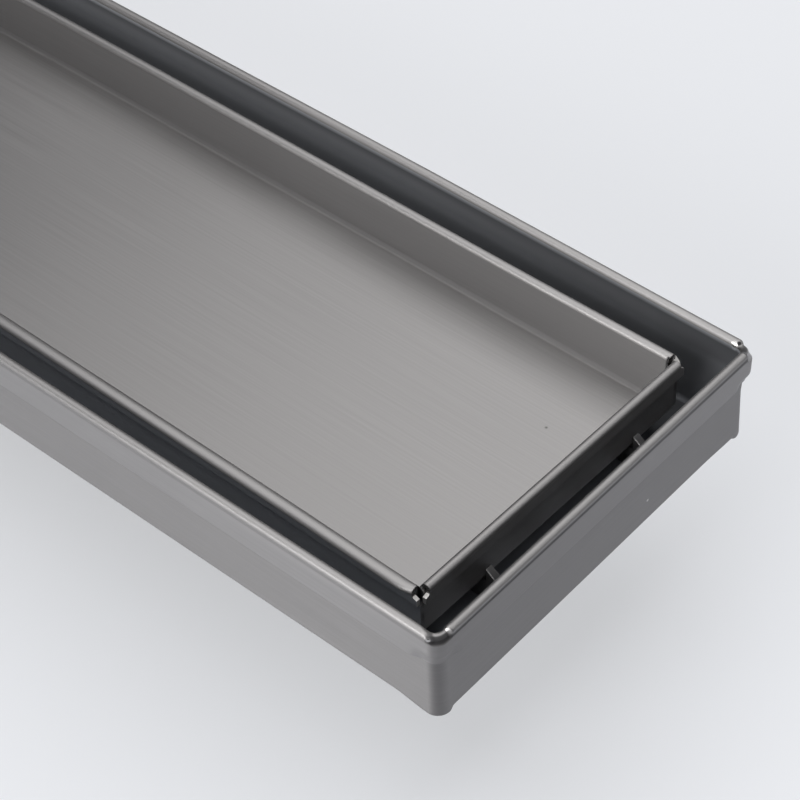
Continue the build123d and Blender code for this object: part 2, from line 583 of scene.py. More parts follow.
@dataclass(frozen=True)
class FoldedSheet:
    """Section of a wall folded up from a floor, with its top turned out and down into a hem.

    Offsets run inwards from the hem's outermost line.
    """

    rim: float
    floor: float
    hem_drop: float
    sheet: float = SHEET
    hem: float = 2.1
    bend_inside: float = 1.0
    pinch: float = 0.12
    pinch_angle: float = 15.0
    hollow: float = 0.3
    slit: float = 0.1
    edge_round: float = 0.2
    bend_steps: int = 9
    crown_steps: int = 29
    pinch_steps: int = 6
    edge_steps: int = 5

    @property
    def bend_end(self) -> float:
        """Offset at which the bend runs out into the floor."""
        return self.hem + self.bend_inside

    @property
    def crown(self) -> float:
        """Height of the centre of the hem's round."""
        return self.rim - self.hem / 2

    @property
    def free_edge(self) -> float:
        """Height of the hem's free edge."""
        return self.rim - self.hem_drop

    @property
    def bend_rows(self) -> slice:
        """Rows of a face in the bend."""
        return slice(0, self.bend_steps)

    @property
    def wall_rows(self) -> slice:
        """Rows of a face on the upright wall."""
        return slice(self.bend_steps, self.bend_steps + len(RUN_SHARES))

    @property
    def crown_rows(self) -> slice:
        """Rows of a face in the hem's round."""
        return slice(self.wall_rows.stop, self.wall_rows.stop + self.crown_steps)

    @property
    def flange_rows(self) -> slice:
        """Rows of a face below the hem's round, to its free edge."""
        return slice(self.crown_rows.stop, None)

    def inner_face(self) -> np.ndarray:
        """Sample the face that starts on the floor's top and ends on the hem's outside.

        Arcs joined by straight runs: the bend, the wall, the crown of the hem carried past the upright, a
        small reverse round that pinches the hem in behind its crown, the flange and half of its free edge.

        Returns:
            One offset and height per row.
        """
        past = 180 + self.pinch_angle
        radius = self.hem / 2
        toward = np.array((math.cos(math.radians(past)), math.sin(math.radians(past))))
        reverse = (self.pinch - radius * (1 + toward[0])) / (1 - math.cos(math.radians(self.pinch_angle)))
        nest = np.array((radius, self.crown)) + toward * (radius + reverse)
        bend_centre = (self.bend_end, self.floor + self.bend_inside)
        bend = arc(bend_centre, self.bend_inside, -90, -180, self.bend_steps)
        crown = arc((radius, self.crown), radius, 0, past, self.crown_steps)
        pinch = arc(nest, reverse, self.pinch_angle, 0, self.pinch_steps + 1)[1:]
        edge_centre = (self.pinch + self.edge_round, self.free_edge + self.edge_round)
        edge = arc(edge_centre, self.edge_round, 180, 270, self.edge_steps)
        return np.concatenate((bend, run(bend[-1], crown[0]), crown, pinch, run(pinch[-1], edge[0]), edge))

    def outer_face(self) -> np.ndarray:
        """Sample the other face, row for row, from the floor's underside to the inside of the hem.

        The bend and the wall follow the inner face one sheet away. Inside the hem a slit runs up to a small
        round hollow under the crown.

        Returns:
            One offset and height per row.
        """
        middle = self.hem / 2
        mouth = math.degrees(math.acos(self.slit / 2 / self.hollow))
        bend_centre = (self.bend_end, self.floor + self.bend_inside)
        bend = arc(bend_centre, self.bend_inside + self.sheet, -90, -180, self.bend_steps)
        hollow = arc((middle, self.crown), self.hollow, -mouth, 180 + mouth, self.crown_steps)
        edge_centre = (middle - self.slit / 2 - self.edge_round, self.free_edge + self.edge_round)
        edge = arc(edge_centre, self.edge_round, 360, 270, self.edge_steps)
        height = self.inner_face()[self.flange_rows.start : -self.edge_steps, 1]
        slit = np.column_stack((np.full_like(height, middle - self.slit / 2), height))
        return np.concatenate((bend, run(bend[-1], hollow[0]), hollow, slit, edge))


@dataclass
class RimPath:
    """The way round the channel's outline, anticlockwise from the front wall's left end."""

    base: np.ndarray
    outward: np.ndarray
    bulge: np.ndarray

    @property
    def along(self) -> np.ndarray:
        """Distance travelled round the path, with the whole way round after its last point."""
        reached = self.base + self.outward
        return lengths(np.concatenate((reached, reached[:1])))


@dataclass
class Channel:
    """The outer trough: one sheet folded up and hemmed outwards on four sides, with welded corners."""

    fold: FoldedSheet
    half_length: float
    half_width: float
    bore_radius: float
    dish_bottom: float
    name: str = "channel_sheet"
    seat_radius: float = 42.0
    dish_radius: float = 45.0
    dish_margin: float = 0.3
    dish_steps: int = 11
    # Rows of the floor between the dish and the folds, as shares of the way
    floor_shares: tuple[float, ...] = (0.5, 0.85, 0.96)
    # Places along a wall: even steps of an angle seen from the outlet, up to this far from the corner, then
    # ever closer ones, given by the first and last distance from the corner and the count
    sight_step: float = 2.8
    sight_end: float = 20.0
    closing: tuple[float, float, int] = (14.0, 2.0, 9)
    closest: tuple[float, float, int] = (1.6, 0.1, 16)
    corner_inset: float = 4.2
    weld_radius: float = 2.9
    corner_steps: int = 41
    # The welded corner is a narrow ridge that stands below the hems and slopes down outwards, given for the
    # front and the back. The hems end at these distances from the outer faces: outside, inside and the length
    # of the step on the long walls, and the distance and the step on the end walls
    corner_dip: tuple[float, float] = (0.8, 0.4)
    ridge_width: float = 1.3
    slope_drop: tuple[float, float] = (1.4, 2.4)
    front_mitre: tuple[float, float, float] = (3.3, 6.2, 3.3)
    back_mitre: tuple[float, float, float] = (4.3, 4.9, 1.6)
    square_end: tuple[tuple[float, float], tuple[float, float]] = ((4.6, 0.9), (4.0, 1.2))
    # The hem's flange is ground into the wall at the corner, less far up at the back, and its slit is filled
    # there, to these shares of its height and width
    taper_height: tuple[float, float] = (3.7, 2.4)
    taper_reach: float = 3.0
    fill_start: float = 3.0
    fill_reach: float = 5.0
    fill_height: float = 0.9
    fill_width: float = 0.8
    # The bend is hammered sharper where the corner was welded, further along the long walls than the ends
    sharp_bend: float = 0.8
    sharp_reach_long: float = 8.0
    sharp_reach_end: float = 1.2
    # Each end wall leans out towards its foot, more at the front, and the back corners were hammered in under
    # the hem and out at the foot
    end_lean: float = 0.3
    end_lean_slope: float = 0.19
    lean_top: float = 0.3
    lean_foot: float = 0.55
    lean_reach: float = 12.0
    lean_step: float = 0.25
    # The weld drew the back rim down towards its ends
    droop: float = 0.75
    droop_reach: float = 65.0
    # Painted shade: the wall below the hem is darker than the hem's face, and the weld darker still. The
    # hem's face is painted darker at the ends, given for their front and their back
    lower_shade: float = 0.15
    weld_shade: float = 0.15
    end_hem_shade: tuple[float, float] = (0.18, 0.05)
    end_hem_step: float = 3.0
    # Painted shade in the groove under the crown, deeper at the ends. On the long walls it starts higher up
    # and tones down the crown's outer highlight. Heights are from the crown's centre
    groove_shade: float = 0.25
    groove_start: float = 0.75
    end_groove_shade: float = 0.5
    end_groove_start: float = 0.3
    groove_step: float = 0.35
    groove_foot: float = 1.15
    groove_foot_step: float = 0.5
    # The weld's outer slope carries painted shade at the front and painted light at the back. It comes in
    # over shares of the crown's rows and goes out over its last rows
    slope_shade: float = 0.6
    back_slope_shade: float = -0.3
    slope_start: float = 0.5
    slope_step: float = 0.15
    slope_last_rows: int = 4
    # Painted shade inside the back and end walls, from this depth below the rim. At the back it fades again
    # further down, and less so near the corners
    inside_shade: float = 1.0
    end_inside_shade: float = 0.5
    inside_start: float = 1.0
    inside_step: float = 2.0
    inside_margin: float = 0.5
    fade_start: float = 3.0
    fade_step: float = 6.0
    corner_fade: float = 0.6
    corner_fade_start: float = 8.0
    corner_fade_step: float = 30.0
    # Painted shade on the floor, eased in across the channel between these distances from its middle
    heat_shade: float = 0.65
    heat_reach: tuple[float, float] = (30.0, 36.0)
    # Spots where the hems end, ground bare and brightened as painted highlights, and painted shade in the
    # hollow at one: place, radius and dressing
    spots: tuple[tuple[float, float, float, float, float], ...] = (
        (297.5, -49.6, 65.0, 0.6, 0.9),
        (298.4, -45.3, 65.4, 0.9, 0.8),
        (295.3, 47.9, 64.6, 0.9, 1.0),
        (297.0, 47.3, 65.0, 0.9, 0.4),
        (296.1, 48.5, 65.0, 0.6, -0.9),
    )

    def half_side(self, half: float, across: float) -> np.ndarray:
        """Places along half a wall: even in angle seen from the outlet, then closer towards the corner.

        Args:
            half: Distance from the wall's middle to its corner.
            across: Distance from the outlet's centre to the wall.

        Returns:
            Places from the middle, which is 0, to just short of the corner.
        """
        near = np.concatenate((np.geomspace(*self.closing), np.linspace(*self.closest)))
        widest = math.atan2(half - self.sight_end, across)
        count = 2 + math.ceil(widest / math.radians(self.sight_step))
        return np.concatenate((across * np.tan(np.linspace(0, widest, count)), half - near))

    def path(self) -> RimPath:
        """Walk round the outline: straight along each wall, then a quarter turn about the corner's centre.

        At a corner the hem's outline is that of a square corner with its own, smaller, round, so it bulges
        beyond the turn by the difference of their distances from the centre.

        Returns:
            The base points, the outward directions and the bulge.
        """
        base, outward, bulge = [], [], []
        turn = np.linspace(0, math.pi / 2, self.corner_steps)
        cosine, sine = np.cos(turn), np.sin(turn)
        shift = self.corner_inset - self.weld_radius
        rounded = shift * (cosine + sine) + np.sqrt(self.weld_radius**2 - (shift * (cosine - sine)) ** 2)
        square = self.corner_inset / np.maximum(cosine, sine)
        on_flat = np.minimum(cosine, sine) * square < shift
        for side in Side:
            half, across = self.half_length - self.corner_inset, self.half_width - self.corner_inset
            if not side.is_long:
                half, across = across, half
            places = self.half_side(half, across)
            places = np.concatenate((-places[::-1], places[1:]))
            base.append(side.outward * across + places[:, None] * side.along)
            outward.append(np.tile(side.outward, (len(places), 1)))
            bulge.append(np.zeros(len(places)))
            base.append(np.tile(side.outward * across + side.along * half, (len(turn), 1)))
            outward.append(cosine[:, None] * side.outward + sine[:, None] * side.along)
            bulge.append(np.where(on_flat, square, rounded) - self.corner_inset)
        return RimPath(np.concatenate(base), np.concatenate(outward), np.concatenate(bulge))

    def dip(self, x: np.ndarray, y: np.ndarray) -> np.ndarray:
        """How far the rim has dropped into the welded corner: eased steps past both hems' ends, multiplied.

        Args:
            x: Places along the channel.
            y: Places across it.

        Returns:
            From 0 on a hem to 1 in the corner.
        """
        from_end, from_side = self.half_length - np.abs(x), self.half_width - np.abs(y)
        share = np.clip(from_side / self.fold.hem, 0, 1)
        at_front = y < 0
        mitres = zip(self.front_mitre, self.back_mitre)
        outside, inside, step = (np.where(at_front, *pair) for pair in mitres)
        past_mitre = ease((outside + (inside - outside) * share - from_end) / step)
        reach, end_step = (np.where(at_front, *pair) for pair in zip(*self.square_end))
        return past_mitre * ease((reach - from_side) / end_step)

    def ridge(self, section: np.ndarray, dip: float, slope_drop: float) -> np.ndarray:
        """Section of a welded corner, in step with the hem's.

        The crown is shrunk towards the wall into a narrow ridge, a straight slope runs from it to the flange,
        and the wall and the flange are shortened to meet them.

        Args:
            section: The hem's inner face.
            dip: How far the ridge stands below the hem.
            slope_drop: How far the slope falls from the ridge's top.

        Returns:
            One offset and height per row.
        """
        fold = self.fold
        ridge = section.copy()
        wall, crown = slice(0, fold.crown_rows.start), fold.crown_rows
        slope = slice(crown.stop, crown.stop + fold.pinch_steps)
        flange = slice(slope.stop, None)
        shrink = self.ridge_width / fold.hem
        top = fold.rim - dip - self.ridge_width / 2
        foot = np.array((fold.pinch, fold.rim - dip - slope_drop))
        middle = (fold.crown + fold.floor) / 2
        upper = np.clip((section[wall, 1] - middle) / (fold.crown - middle), 0, 1)
        ridge[wall, 1] += (top - fold.crown) * upper
        ridge[crown, 0] = fold.hem - (fold.hem - section[crown, 0]) * shrink
        ridge[crown, 1] = top + (section[crown, 1] - fold.crown) * shrink
        ridge[slope] = run(ridge[crown][-1], foot, np.linspace(0, 1, fold.pinch_steps + 1)[1:])
        squeeze = (foot[1] - fold.free_edge) / (section[slope][-1, 1] - fold.free_edge)
        ridge[flange, 1] = fold.free_edge + (section[flange, 1] - fold.free_edge) * squeeze
        return ridge

    def hem_dressing(self, points: np.ndarray, dip: np.ndarray) -> np.ndarray:
        """Painted light and shade on the hem: its groove, a weld's outer slope and the faces at the ends.

        The groove is eased in below its start and out above its foot, and the slope is eased in and out by
        rows. An end's face is eased in round the corner, and its shade goes evenly from the front's to the
        back's.

        Args:
            points: The inner face's points, section by way round.
            dip: How far each point has dropped into a welded corner.

        Returns:
            The dressing at each point.
        """
        fold = self.fold
        height = fold.inner_face()[:, 1:]
        x, y = np.abs(points[..., 0]), points[..., 1]
        row = np.arange(len(height))[:, None]
        past_top = (row - fold.crown_rows.start) / fold.crown_steps
        rows_left = fold.crown_rows.stop + fold.pinch_steps - row
        slope = ease((past_top - self.slope_start) / self.slope_step) * ease(rows_left / self.slope_last_rows)
        slope = slope * np.where(y > 0, self.back_slope_shade, self.slope_shade)
        at_end = self.half_length - x < fold.bend_end
        start = fold.crown + np.where(at_end, self.end_groove_start, self.groove_start)
        foot = fold.crown - self.groove_foot
        groove = ease((start - height) / self.groove_step) * ease((height - foot) / self.groove_foot_step)
        groove *= np.where(at_end, self.end_groove_shade, self.groove_shade)
        groove[: fold.crown_rows.start] = 0
        shade = -groove * (1 - dip) - slope * dip
        turned = ease((x - self.half_length + self.corner_inset) / self.end_hem_step)
        front, back = self.end_hem_shade
        face = turned * (front + (back - front) * (y + self.half_width) / (2 * self.half_width))
        shade[fold.flange_rows] -= face[fold.flange_rows]
        return shade

    def inside_dressing(self, points: np.ndarray) -> np.ndarray:
        """Painted shade inside the walls: the darker of the back's and the end's shade.

        Both are eased in with depth, and the back's shade is cut by a fade that is eased in further down.

        Args:
            points: The inside's points, section by way round.

        Returns:
            The dressing at each point.
        """
        fold = self.fold
        depth = fold.rim - fold.inner_face()[: fold.crown_rows.start, 1:]
        x, y = np.abs(points[..., 0]), points[..., 1]
        at_end = x > self.half_length - fold.bend_end - self.inside_margin
        at_back = y > self.half_width - fold.bend_end - self.inside_margin
        clear = ease((self.half_length - x - self.corner_fade_start) / self.corner_fade_step)
        fade = self.corner_fade + (1 - self.corner_fade) * clear
        fade = fade * ease((depth - self.fade_start) / self.fade_step)
        shade = np.maximum(self.inside_shade * at_back * (1 - fade), self.end_inside_shade * at_end)
        return -shade * ease((depth - self.inside_start) / self.inside_step)

    def dressing(self, points: np.ndarray, dip: np.ndarray) -> np.ndarray:
        """The inner face's dressing: painted light and shade on hem and insides, and spots eased by distance.

        Args:
            points: The face's points, section by way round.
            dip: How far each point has dropped into a welded corner.

        Returns:
            The dressing at each point, from the darkest at -1 to the lightest at 1.
        """
        inside = slice(0, self.fold.crown_rows.start)
        shade = self.hem_dressing(points, dip)
        shade[inside] += self.inside_dressing(points[inside])
        mirrored = np.concatenate((np.abs(points[..., :1]), points[..., 1:]), axis=-1)
        # Bright spots: bare steel brightened as painted highlights. The dark one: painted shade in a hollow
        for x, y, z, radius, tone in self.spots:
            away = np.linalg.norm(mirrored - (x, y, z), axis=-1)
            shade += tone * ease(2 - 2 * away / radius)
        return np.clip(shade, -1, 1)

    def place(self, path: RimPath, u: np.ndarray) -> np.ndarray:
        """Place offsets in plan: the base plus the outward direction times the inset less the offset.

        Above the wall the reach also grows by the corner's bulge, by the share of the hem that lies inwards.

        Args:
            path: The way round the outline.
            u: Offsets of the inner face, section by way round.

        Returns:
            One X and Y per point.
        """
        follows = np.clip(1 - u / self.fold.hem, 0, 1)
        follows[: self.fold.crown_rows.start] = 0
        return path.base + path.outward * (self.corner_inset - u + follows * path.bulge)[..., None]

    def from_corner(self, path: RimPath) -> np.ndarray:
        """Distances from the turn of the nearest corner, along the channel and across it."""
        return np.array(((self.half_length,), (self.half_width,))) - self.corner_inset - np.abs(path.base.T)

    def inner_points(self, path: RimPath) -> tuple[np.ndarray, np.ndarray]:
        """Carry the section's inner face round the outline.

        Offsets and heights go over to the ridge's by the dip. Near a corner the flange is moved onto the wall
        by an eased step up from its free edge, and the back rim is drawn down by each point's share of the
        height.

        Args:
            path: The way round the outline.

        Returns:
            The points, section by way round, and how far each has dropped into a welded corner.
        """
        fold = self.fold
        section = fold.inner_face()
        at_front = path.base[:, 1] < 0
        from_x, from_y = self.from_corner(path)
        ridges = [self.ridge(section, *drops)[:, None] for drops in zip(self.corner_dip, self.slope_drop)]
        ridge = np.where(at_front[:, None], *ridges)
        u, z = (np.repeat(column[:, None], len(path.base), axis=1) for column in section.T)
        plan = self.place(path, u)
        dip = self.dip(plan[..., 0], plan[..., 1])
        u += dip * (ridge[..., 0] - u)
        z += dip * (ridge[..., 1] - z)
        flange = fold.flange_rows
        welded = 1 - ease((from_x + from_y) / self.taper_reach)
        taper_height = np.where(at_front, *self.taper_height)
        taper = ease((fold.free_edge + taper_height - z[flange]) / taper_height)
        u[flange] += welded * taper * (fold.sheet - fold.slit - u[flange])
        drawn = self.droop * np.clip(path.outward[:, 1], 0, 1) * ease(1 - from_x / self.droop_reach)
        z -= drawn * (z - fold.floor) / (fold.rim - fold.floor)
        return np.concatenate((self.place(path, u), z[..., None]), axis=-1), dip

    def outer_points(self, path: RimPath) -> np.ndarray:
        """Carry the section's outer face round the outline.

        Near a corner the slit's offsets and heights shrink towards its foot, and the bend is an arc whose
        radius is eased down. Below the hem the wall is moved by its lean and the hammering, which go by each
        point's share of the height.

        Args:
            path: The way round the outline.

        Returns:
            The points, section by way round.
        """
        fold = self.fold
        from_x, from_y = self.from_corner(path)
        u, z = (np.repeat(column[:, None], len(path.base), axis=1) for column in fold.outer_face().T)
        wall_face, base = fold.hem - fold.sheet, fold.floor - fold.sheet
        in_hem = slice(fold.crown_rows.start, None)
        filled = 1 - ease((from_x + from_y - self.fill_start) / self.fill_reach)
        u[in_hem] = wall_face + (u[in_hem] - wall_face) * (1 - self.fill_width * filled)
        z[in_hem] = fold.free_edge + (z[in_hem] - fold.free_edge) * (1 - self.fill_height * filled)
        sharpened = 1 - ease(from_x / self.sharp_reach_long + from_y / self.sharp_reach_end)
        radius = fold.bend_inside + fold.sheet
        radius = radius - sharpened * (radius - self.sharp_bend)
        angle = np.linspace(-math.pi / 2, -math.pi, fold.bend_steps)[:, None]
        u[fold.bend_rows] = wall_face + radius * (1 + np.cos(angle))
        z[fold.bend_rows] = base + radius * (1 + np.sin(angle))
        below = np.clip((fold.free_edge - z) / (fold.free_edge - base), 0, 1)
        hammered = (1 - ease((from_x + from_y) / self.lean_reach)) * (path.base[:, 1] >= 0)
        u += hammered * ease(below / self.lean_step) * (self.lean_top - self.lean_foot * below)
        lean = self.end_lean - self.end_lean_slope * path.base[:, 1] / self.half_width
        u -= below * lean * np.abs(path.outward[:, 0])
        plan = path.base + path.outward * (self.corner_inset - u)[..., None]
        return np.concatenate((plan, z[..., None]), axis=-1)

    def walls(self, maker: MeshMaker, path: RimPath) -> np.ndarray:
        """Build the walls: both faces of the sheet, joined at the hem's free edge.

        The insides up to the crown are dull, as the floor is. The outside below the hem carries painted
        shade, and darkens further on the weld, by the square of twice the product of the outward direction's
        parts.

        Args:
            maker: The mesh to add to.
            path: The way round the outline.

        Returns:
            The lower edge of the outer face, where the floor's underside starts.
        """
        fold = self.fold
        near, dip = self.inner_points(path)
        far = self.outer_points(path)
        around = np.concatenate((near, far[::-1]))
        section = np.concatenate((fold.inner_face(), fold.outer_face()[::-1]))
        across, along = np.meshgrid(lengths(section), path.along, indexing="ij")
        grain = np.stack((across, along), axis=-1)
        weld = self.weld_shade * (2 * path.outward[:, 0] * path.outward[:, 1]) ** 2
        # Painted shade on the wall below the hem, with the weld's darker band at the corners
        lower = np.broadcast_to(-self.lower_shade - weld, far.shape[:2])
        shade = np.concatenate((self.dressing(near, dip), lower))
        top = fold.crown_rows.start
        # The insides take the dull finish, whose lighter colour is painted light
        maker.add(around[:top], grain[:top], shade[:top], Finish.DULL)
        maker.add(around[top - 1 :], grain[top - 1 :], shade[top - 1 :])
        return far[0]

    def floor(self, maker: MeshMaker, path: RimPath, foot: np.ndarray) -> None:
        """Span the floor from the folds to the outlet, with the dish pressed into it, on both faces.

        Each ring of the dish is the cosine and sine of an angle that is half the outline's own and half even
        steps round the circle. The dish drops by an eased step between its two radii. The dressing darkens by
        an eased step across the channel as painted shade, wherever the floor lies further along than the
        channel's half width.

        Args:
            maker: The mesh to add to.
            path: The way round the outline.
            foot: The lower edge of the walls' outer face.
        """
        fold = self.fold
        steps = len(path.base)
        seen = np.unwrap(np.arctan2(path.base[:, 1], path.base[:, 0]))
        even = np.arange(steps) * 2 * math.pi / steps
        middle = int(np.argmin(np.abs(path.base[: steps // 3, 0])))
        turn = (seen - seen[middle] + even - even[middle]) / 2 - math.pi / 2
        margin = self.dish_margin
        seat = (self.bore_radius, self.bore_radius + margin)
        slope = np.linspace(self.seat_radius - margin, self.dish_radius + margin, self.dish_steps)
        radius = np.concatenate((seat, slope))[:, None]
        drop = fold.floor - fold.sheet - self.dish_bottom
        risen = ease((radius - self.seat_radius) / (self.dish_radius - self.seat_radius))
        height = fold.floor - drop * (1 - risen)
        ring = np.stack(
            (radius * np.cos(turn), radius * np.sin(turn), np.repeat(height, steps, axis=1)), axis=-1
        )
        edge = path.base + path.outward * (self.corner_inset - fold.bend_end)
        edge = np.column_stack((edge, np.full(steps, fold.floor)))[None]
        between = ring[-1:] + np.array(self.floor_shares)[:, None, None] * (edge - ring[-1:])
        top = np.concatenate((ring, between, edge))
        below = np.concatenate((foot[None], (ring - (0, 0, fold.sheet))[::-1], top[:1]))
        # Painted shade on the floor's top, towards the long walls' feet and into the end corners
        near, far = self.heat_reach
        heat = ease((np.abs(top[..., 1]) - near) / (far - near)) * (np.abs(top[..., 0]) > self.half_width)
        maker.add(top, close_columns(top[..., 1::-1]), -self.heat_shade * heat, Finish.DULL)
        maker.add(below, close_columns(below[..., 1::-1]))

    def build(self, sheet: bpy.types.Material, dull: bpy.types.Material) -> bpy.types.Object:
        """Build the trough and let it stand for its node.

        Args:
            sheet: Finish of the sheet.
            dull: Finish of the floor's top and the walls' insides.

        Returns:
            The piece.
        """
        maker = MeshMaker(self.name)
        path = self.path()
        self.floor(maker, path, self.walls(maker, path))
        return carry(maker.make([sheet, dull]), GUNMETAL_SLOT, "channel_body")


@dataclass(frozen=True)
class CutEnd:
    """How the end of a tray wall was cut: lengths past the floor's corner, and heights from the free edge.

    Below the hem the wall closes the corner. The flange below the hem's round was left longer, as a tab whose
    cut top slopes and catches the light.
    """

    foot: float
    wall: float
    hem: float
    tab: float
    tab_top: float
    tab_slope: float


@dataclass
class Tray:
    """The inner tray for a cut tile: one sheet folded up and hemmed outwards, with open corners."""

    fold: FoldedSheet
    half_length: float
    half_width: float
    name: str = "tray_sheet"
    # The long walls' ends, and the end walls' at their front and back
    front_cut: CutEnd = CutEnd(foot=2.0, wall=1.0, hem=1.0, tab=1.0, tab_top=2.1, tab_slope=0.45)
    back_cut: CutEnd = CutEnd(foot=2.0, wall=0.0, hem=0.2, tab=1.4, tab_top=3.5, tab_slope=1.1)
    end_front_cut: CutEnd = CutEnd(foot=1.05, wall=1.05, hem=0.4, tab=1.0, tab_top=2.1, tab_slope=0.45)
    end_back_cut: CutEnd = CutEnd(foot=1.05, wall=1.05, hem=1.25, tab=1.3, tab_top=3.0, tab_slope=1.0)
    # How far each of the last columns goes along with that, counted from the wall's end
    end_columns: tuple[float, ...] = (1.0, 1.0, 0.6, 0.2, 0.0)
    # The wall's end goes over to the foot's below this height over the free edge, and to the hem's in the
    # first share of the crown. The tab starts after the second share
    foot_margin: float = 0.3
    foot_step: float = 0.9
    hem_share: float = 1 / 3
    tab_share: float = 0.7
    # Painted shade: the cut end of the hem's round above the tab is dark, and so are the last two columns
    # beside it, where the slit lies, over these rows before and after the crown's start. The walls inside and
    # their bends are painted darker than the floor, which tones down their reflections
    cut_shade: float = 0.5
    rim_rows: tuple[int, int] = (3, 8)
    wall_shade: float = 0.4
    bend_shade: float = 0.45
    bend_first_rows: int = 3
    # The front hem was left open: its round stands out, but for its ends and its foot
    bulb: float = 0.85
    bulb_reach: float = 4.0
    bulb_foot: float = 2.4
    bulb_step: float = 1.6
    # The tray lies askew at its right end: how far it is turned and about which place along it, how far its
    # end wall is turned and pushed along, how far the long walls stand out at their open end, the front and
    # then the back, and how far the front wall is bowed in. A span is where along the tray one of these comes
    # in, and over which length
    askew: float = 0.0065
    askew_from: float = 250.0
    askew_span: tuple[float, float] = (20.0, 110.0)
    end_askew: float = 0.012
    pushed: float = 0.35
    pushed_span: tuple[float, float] = (150.0, 120.0)
    flare: tuple[float, float] = (0.35, 0.25)
    flare_span: tuple[float, float] = (245.0, 40.0)
    bow: float = 0.2
    # Places along a floor edge: these distances from each end, and between them even steps
    close_places: tuple[float, ...] = (0.0, 0.25, 0.7, 1.6, 5.0)
    even_inset: float = 12.0
    lengthwise_steps: int = 36
    crosswise_steps: int = 12

    def settle(self, points: np.ndarray) -> np.ndarray:
        """Let points lie as the tray does.

        Towards the right end each moves across by its distance past a place along the tray times the turn,
        and along by the push and by its own distance across times the end's turn. The long walls also move
        outwards, and the front one inwards, by their share of the height. All but the last is eased in along
        the tray.

        Args:
            points: Grid of points of the straight tray.

        Returns:
            The points in place.
        """
        x, y, z = (points[..., axis] for axis in range(3))
        fold = self.fold
        moved = points.copy()
        spans = (self.askew_span, self.flare_span, self.pushed_span)
        turned, flared, pushed = (ease((x - start) / length) for start, length in spans)
        raised = np.clip((z - fold.floor) / (fold.rim - fold.floor), 0, 1)
        raised = raised * np.clip(y / self.half_width, -1, 1)
        moved[..., 1] -= self.askew * (x - self.askew_from) * turned
        moved[..., 1] += raised * np.where(y < 0, *self.flare) * flared
        moved[..., 1] -= raised * self.bow * (y < 0)
        moved[..., 0] += (self.pushed + self.end_askew * y) * pushed
        return moved

    def places(self, half: float, steps: int) -> np.ndarray:
        """Places along a floor edge, even but for a few close to each end.

        Args:
            half: Half the edge's length.
            steps: How many even places.

        Returns:
            The places, from the start to the end.
        """
        close = np.array(self.close_places)
        inner = np.linspace(-half + self.even_inset, half - self.even_inset, steps)
        return np.concatenate((close - half, inner, half - close[::-1]))

    def cuts(self, side: Side) -> tuple[CutEnd, CutEnd]:
        """How a wall was cut.

        Args:
            side: The wall.

        Returns:
            The cut at its start and the one at its end.
        """
        ends = {
            Side.FRONT: (self.front_cut, self.front_cut),
            Side.RIGHT: (self.end_front_cut, self.end_back_cut),
            Side.BACK: (self.back_cut, self.back_cut),
            Side.LEFT: (self.end_back_cut, self.end_front_cut),
        }
        return ends[side]

    def tabs(self, side: Side, height: np.ndarray) -> list[np.ndarray]:
        """How far the tab reaches at each end of a wall, growing evenly below its top on the hem's outside.

        Args:
            side: The wall.
            height: The height of each row of a face.

        Returns:
            The reach of each row at the wall's start and at its end.
        """
        fold = self.fold
        outside = np.arange(len(height)) > fold.crown_rows.start + self.tab_share * fold.crown_steps
        above = height - fold.free_edge
        cuts = self.cuts(side)
        return [cut.tab * outside * np.clip((cut.tab_top - above) / cut.tab_slope, 0, 1) for cut in cuts]

    def face(self, side: Side, section: np.ndarray) -> np.ndarray:
        """Carry one face of the folded section along a wall.

        A point lies at the wall's outer line less its offset, and as far along as its column. The first and
        last columns are moved by the reach, which grows from nothing through the bend to that of the wall's
        foot, is eased over to that of the wall, then to that of the hem at the start of its round, and is
        longest in the tab below it. The open front hem's offsets shrink by the bulb, by their share of the
        hem's width, and eased with height and towards the ends.

        Args:
            side: The wall.
            section: The face's offsets and heights.

        Returns:
            Grid of points, section by places along.
        """
        fold = self.fold
        half, across, steps = self.half_length, self.half_width, self.lengthwise_steps
        if not side.is_long:
            half, across, steps = across, half, self.crosswise_steps
        places = np.repeat(self.places(half - fold.bend_end, steps)[None], len(section), axis=0)
        past_top = (np.arange(len(section)) - fold.crown_rows.start) / fold.crown_steps
        hemmed = ease(past_top / self.hem_share)
        share = np.ones(len(section))
        share[fold.bend_rows] = ease(np.linspace(0, 1, fold.bend_steps))
        closed = ease((fold.free_edge + self.foot_margin - section[:, 1]) / self.foot_step)
        closed[fold.crown_rows.start :] = 0
        start, end = (
            (cut.wall + (cut.hem - cut.wall) * hemmed + (cut.foot - cut.wall) * closed) * share + tab
            for cut, tab in zip(self.cuts(side), self.tabs(side, section[:, 1]))
        )
        pull = np.array(self.end_columns)
        places[:, : len(pull)] -= start[:, None] * pull
        places[:, -len(pull) :] += end[:, None] * pull[::-1]
        offset, height = (np.broadcast_to(column[:, None], places.shape) for column in section.T)
        if side is Side.FRONT:
            outside = np.clip(1 - offset / fold.hem, 0, 1) * (hemmed > 0)[:, None]
            raised = ease((height - fold.rim + self.bulb_foot) / self.bulb_step)
            raised = raised * ease((places.max() - np.abs(places)) / self.bulb_reach)
            offset = offset - self.bulb * outside * raised
        plan = side.outward * (across - offset)[..., None] + side.along * places[..., None]
        return np.concatenate((plan, height[..., None]), axis=-1)

